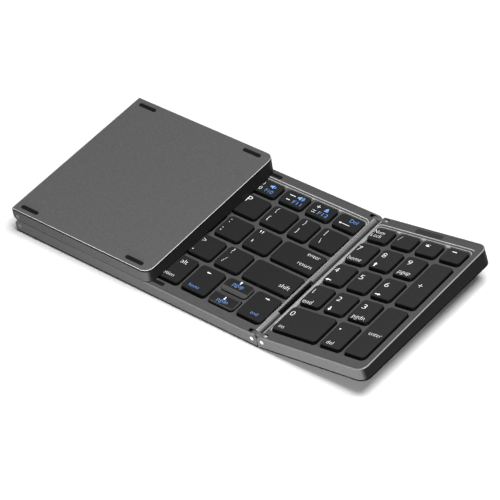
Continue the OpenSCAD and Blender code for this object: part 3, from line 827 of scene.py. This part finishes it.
NUMBER_MARKS = {
    "pad_num_lock": [
        ("Num", 4.7, 105.4, 7.9, None, WHITE_INK),
        ("Lock", 4.9, 101.9, 7.7, None, WHITE_INK),
    ],
    "pad_divide": [("/", 23.9, 104.5, None, 4.0, WHITE_INK)],
    "pad_multiply": [("*", 43.2, 105.5, 3.3, 3.0, WHITE_INK)],
    "pad_minus": [("bar", 62.5, 107.2, 3.3, 0.55, WHITE_INK)],
    "pad_7": [("7", 5.2, 87.8, 2.8, 3.7, WHITE_INK), ("home", 5.2, 79.0, 9.9, None, WHITE_INK)],
    "pad_8": [
        ("8", 24.2, 87.8, 2.8, 3.7, WHITE_INK),
        ("arrow up", 24.3, 79.0, 2.4, 3.4, WHITE_INK),
    ],
    "pad_9": [("9", 43.2, 87.8, 2.8, 3.7, WHITE_INK), ("pgup", 43.2, 78.5, 8.4, None, WHITE_INK)],
    "pad_plus": [("+", 62.6, 73.0, None, 2.9, WHITE_INK)],
    "pad_4": [
        ("4", 5.2, 66.0, 2.8, 3.7, WHITE_INK),
        ("arrow left", 5.2, 57.7, 4.2, 1.9, WHITE_INK),
    ],
    "pad_5": [("5", 24.2, 66.0, 2.8, 3.7, WHITE_INK)],
    "pad_6": [
        ("6", 43.2, 66.0, 2.8, 3.7, WHITE_INK),
        ("arrow right", 42.7, 57.8, 4.0, 1.9, WHITE_INK),
    ],
    "pad_1": [("1", 6.0, 44.8, None, 3.6, WHITE_INK), ("end", 5.6, 35.8, 6.7, None, WHITE_INK)],
    "pad_2": [
        ("2", 24.4, 44.8, 2.8, 3.6, WHITE_INK),
        ("arrow down", 24.5, 35.8, 2.4, 3.4, WHITE_INK),
    ],
    "pad_3": [("3", 43.2, 44.9, 2.8, 3.6, WHITE_INK), ("pgdn", 43.2, 35.2, 8.4, None, WHITE_INK)],
    "pad_0": [("0", 6.1, 23.5, 2.8, 3.7, WHITE_INK), ("ins", 7.0, 12.2, 3.9, None, WHITE_INK)],
    "pad_point": [
        ("bar", 43.3, 24.6, 0.9, 0.9, WHITE_INK),
        ("del", 43.5, 11.8, 4.5, None, WHITE_INK),
    ],
    "pad_enter": [("enter", 62.2, 27.5, 8.9, None, WHITE_INK)],
}
for body, marks in MIDDLE_MARKS.items():
    legends(body, MIDDLE, marks)
for body, marks in NUMBER_MARKS.items():
    legends(body, NUMBER, marks)

# keys of the middle section under the folded letter section, row by row from the back: the
# upper and lower sign of a key, a capital, or a small word
COVERED = (
    (("%", "5"), ("^", "6"), ("&", "7"), ("*", "8"), ("(", "9"), (")", "0")),
    ("T", "Y", "U", "I", "O"),
    ("G", "H", "J", "K", "L", (":", ";")),
    ("V", "B", "N", "M", ("<", ","), (">", ".")),
    ("", "", "alt"),
)
COVERED_FUNCTIONS = ("F5", "F6", "F7", "F8", "F9", "F10")

# keys of the letter section, seen when it is open, row by row from the back
LETTERS = (
    ("esc", ("!", "1"), ("@", "2"), ("#", "3"), ("$", "4")),
    ("tab", "Q", "W", "E", "R"),
    ("caps", "A", "S", "D", "F"),
    ("shift", "Z", "X", "C"),
    ("ctrl", "fn", "opt", "cmd", ""),
)
LETTER_FUNCTIONS = ("", "F1", "F2", "F3", "F4")

# height of the signs that are lower than a capital, and the signs over a function's name
SIGN_HEIGHT = {".": 0.8, ",": 1.6, "<": 2.6, ">": 2.6, ":": 3.0, ";": 3.6, "*": 2.4, "^": 1.7}
FUNCTION_SIGN = {"F10": "speaker"}

# places of the marks, from a key's left and its back edge, and their heights
CAPITAL_AT, CAPITAL_HEIGHT = (2.2, -6.7), 4.8
UPPER_AT, LOWER_AT, PAIR_HEIGHT = (2.6, -5.8), (2.4, -14.6), 3.4
SMALL_UPPER_AT, SMALL_UPPER_HEIGHT = (3.9, -5.6), 3.2
SMALL_LOWER_AT, SMALL_LOWER_HEIGHT = (3.7, -9.6), 2.9
FUNCTION_AT, FUNCTION_HEIGHT = (8.5, -9.6), 2.8
FUNCTION_SIGN_AT, FUNCTION_SIGN_SIZE = (9.2, -5.3), (4.0, 3.2)

# places of the words, from a key's left and its front edge, and their widths
WORD_AT, LETTER_WIDTH = (2.6, 3.2), 1.75
ALT_AT, ALT_WIDTH = (7.6, 16.2), 4.7
OPTION_AT, OPTION_WIDTH = (2.0, 3.2), 10.2

# keys whose front edges are in the same step belong to the same row
ROW_STEP = 8.0
SAME_PLACE = 0.01 * MM


def key_places(node, section):
    """Left, front and back of every separate key of a node, row by row from the back."""
    bm = bmesh.new()
    bm.from_mesh(nodes[node].data)
    bmesh.ops.remove_doubles(bm, verts=bm.verts, dist=SAME_PLACE)
    bm.transform(section.inverted())
    loose = set(bm.verts)
    places = []
    while loose:
        reached = [loose.pop()]
        key = list(reached)
        while reached:
            for edge in reached.pop().link_edges:
                for vertex in edge.verts:
                    if vertex in loose:
                        loose.remove(vertex)
                        reached.append(vertex)
                        key.append(vertex)
        x, y = [v.co.x for v in key], [v.co.y for v in key]
        places.append((min(x), min(y), max(y)))
    bm.free()
    return sorted(places, key=lambda place: (-round(place[1] / ROW_STEP), place[0]))


def row_marks(place, legend, function):
    """Marks of one key of the letter rows: two signs, a capital, or a small word, and the
    name of its function if it has one."""
    left, front, back = place

    def mark(words, at, edge, width, height, ink_number=WHITE_INK):
        return (words, left + at[0], edge + at[1], width, height, ink_number)

    if function:
        upper, lower = legend
        upper_height = SIGN_HEIGHT.get(upper, SMALL_UPPER_HEIGHT)
        marks = [
            mark(upper, SMALL_UPPER_AT, back, None, upper_height),
            mark(lower, SMALL_LOWER_AT, back, None, SMALL_LOWER_HEIGHT),
            mark(function, FUNCTION_AT, back, None, FUNCTION_HEIGHT, BLUE_INK),
        ]
        if function in FUNCTION_SIGN:
            sign = FUNCTION_SIGN[function]
            marks.append(mark(sign, FUNCTION_SIGN_AT, back, *FUNCTION_SIGN_SIZE, BLUE_INK))
        return marks
    if isinstance(legend, tuple):
        upper, lower = legend
        return [
            mark(upper, UPPER_AT, back, None, SIGN_HEIGHT.get(upper, PAIR_HEIGHT)),
            mark(lower, LOWER_AT, back, None, SIGN_HEIGHT.get(lower, PAIR_HEIGHT)),
        ]
    if len(legend) == 1:
        return [mark(legend, CAPITAL_AT, back, None, CAPITAL_HEIGHT)]
    if legend == "alt":
        return [
            mark(legend, ALT_AT, front, ALT_WIDTH, None),
            mark("option", OPTION_AT, front, OPTION_WIDTH, None),
        ]
    return [mark(legend, WORD_AT, front, LETTER_WIDTH * len(legend), None)]


def printed_rows(body, section, rows, functions):
    """Prints the legends of a body's keys, whose back row also has functions."""
    places = key_places(body, section)
    marks = []
    for row, row_legends in enumerate(rows):
        for column, legend in enumerate(row_legends):
            place = places.pop(0)
            if legend:
                marks += row_marks(place, legend, functions[column] if row == 0 else "")
    legends(body, section, marks)


printed_rows("base_covered_keys", MIDDLE, COVERED, COVERED_FUNCTIONS)
printed_rows("left_keys", LETTER, LETTERS, LETTER_FUNCTIONS)


# ---- studio -------------------------------------------------------------------------------

# the desk: half its side in metres, the grey of the light that it returns, and the distances
# between which it starts to be white of itself
DESK_HALF = 4.0
DESK_RETURN = (0.1, 0.1, 0.1, 1.0)
DESK_FADE = (0.2, 0.5)
BLACK = (0.0, 0.0, 0.0, 1.0)

# light of the sky on the object, as a share of the white that is seen
SKY_LIGHT = 0.07

# soft lights: their place and size in metres, and their power in watts
SOFT_LIGHTS = {
    "overhead": ((0.46, -0.02, 1.34), (0.8, 0.8), 25.8),
    "front_board": ((0.15, -0.36, 0.045), (0.1, 0.07), 1.55),
}

# camera: where it stands in millimetres, how it is turned, and the small shift of its frame
CAMERA_PLACE = Vector((774.37, -763.0, 942.25)) * MM
CAMERA_RIGHT = (0.76526558, 0.6333725, -0.11492546)
CAMERA_DOWN = (0.35286324, -0.56207462, -0.7480372)
CAMERA_AHEAD = (-0.53838288, 0.53189416, -0.65363023)
FRAME_SIDE = 500.0
FOCAL_SHARE = 2405.942 / FRAME_SIDE
FRAME_SHIFT = (-0.5 / FRAME_SIDE, 0.25 / FRAME_SIDE)
SENSOR_WIDTH = 36.0


def ray_is(owner, *kinds):
    """1 for the given kinds of ray."""
    return sum(owner.add("ShaderNodeLightPath", {}, {}, f"Is {kind} Ray") for kind in kinds)


def seen_white(finish, grey, fade):
    """White wherever it is seen or mirrored, also far from the lamps, but a soft grey to the
    light that it returns."""
    shown = ray_is(finish, "Camera", "Glossy", "Transmission") > 0.5
    finish.feed("Base Color", finish.mix(shown, grey, finish.colour))
    away = finish.add(
        "ShaderNodeVectorMath", {"operation": "LENGTH"}, {0: finish.place()}, "Value"
    )
    far = finish.ramp(away, *fade) * shown
    finish.feed("Emission Color", finish.mix(far, BLACK, finish.colour))


def soft_light(name, place, size, power):
    lamp = bpy.data.lights.new(name, "AREA")
    lamp.shape = "RECTANGLE"
    lamp.size, lamp.size_y = size
    lamp.energy = power
    light = bpy.data.objects.new(name, lamp)
    light.location = place
    light.rotation_euler = (-Vector(place)).to_track_quat("-Z", "Y").to_euler()
    light.visible_camera = False
    bpy.context.scene.collection.objects.link(light)


desk = Finish("desk_white", (1.0, 1.0, 1.0), 0.9, Emission_Strength=1.0)
seen_white(desk, DESK_RETURN, DESK_FADE)
bm = bmesh.new()
bmesh.ops.create_grid(bm, x_segments=1, y_segments=1, size=DESK_HALF)
floor = new_piece("desk", bm, desk)

world = bpy.data.worlds.new("studio")
bpy.context.scene.world = world
world.use_nodes = True
sky = world.node_tree.nodes["Background"]
sky.inputs["Color"].default_value = (1.0, 1.0, 1.0, 1.0)
sky_tree = ShaderTree(world.node_tree)
sky_light = SKY_LIGHT + ray_is(sky_tree, "Camera") * (1 - SKY_LIGHT)
sky_tree.link(sky_light, sky.inputs["Strength"])

for name, (place, size, power) in SOFT_LIGHTS.items():
    soft_light(name, place, size, power)

eye = bpy.data.cameras.new("camera")
eye.sensor_width = SENSOR_WIDTH
eye.lens = FOCAL_SHARE * SENSOR_WIDTH
eye.shift_x, eye.shift_y = FRAME_SHIFT
camera = bpy.data.objects.new("camera", eye)
axes = Matrix((CAMERA_RIGHT, [-c for c in CAMERA_DOWN], [-c for c in CAMERA_AHEAD])).transposed()
camera.matrix_world = Matrix.Translation(CAMERA_PLACE) @ axes.to_4x4()
bpy.context.scene.collection.objects.link(camera)
bpy.context.scene.camera = camera
bpy.context.scene.view_settings.view_transform = "Standard"
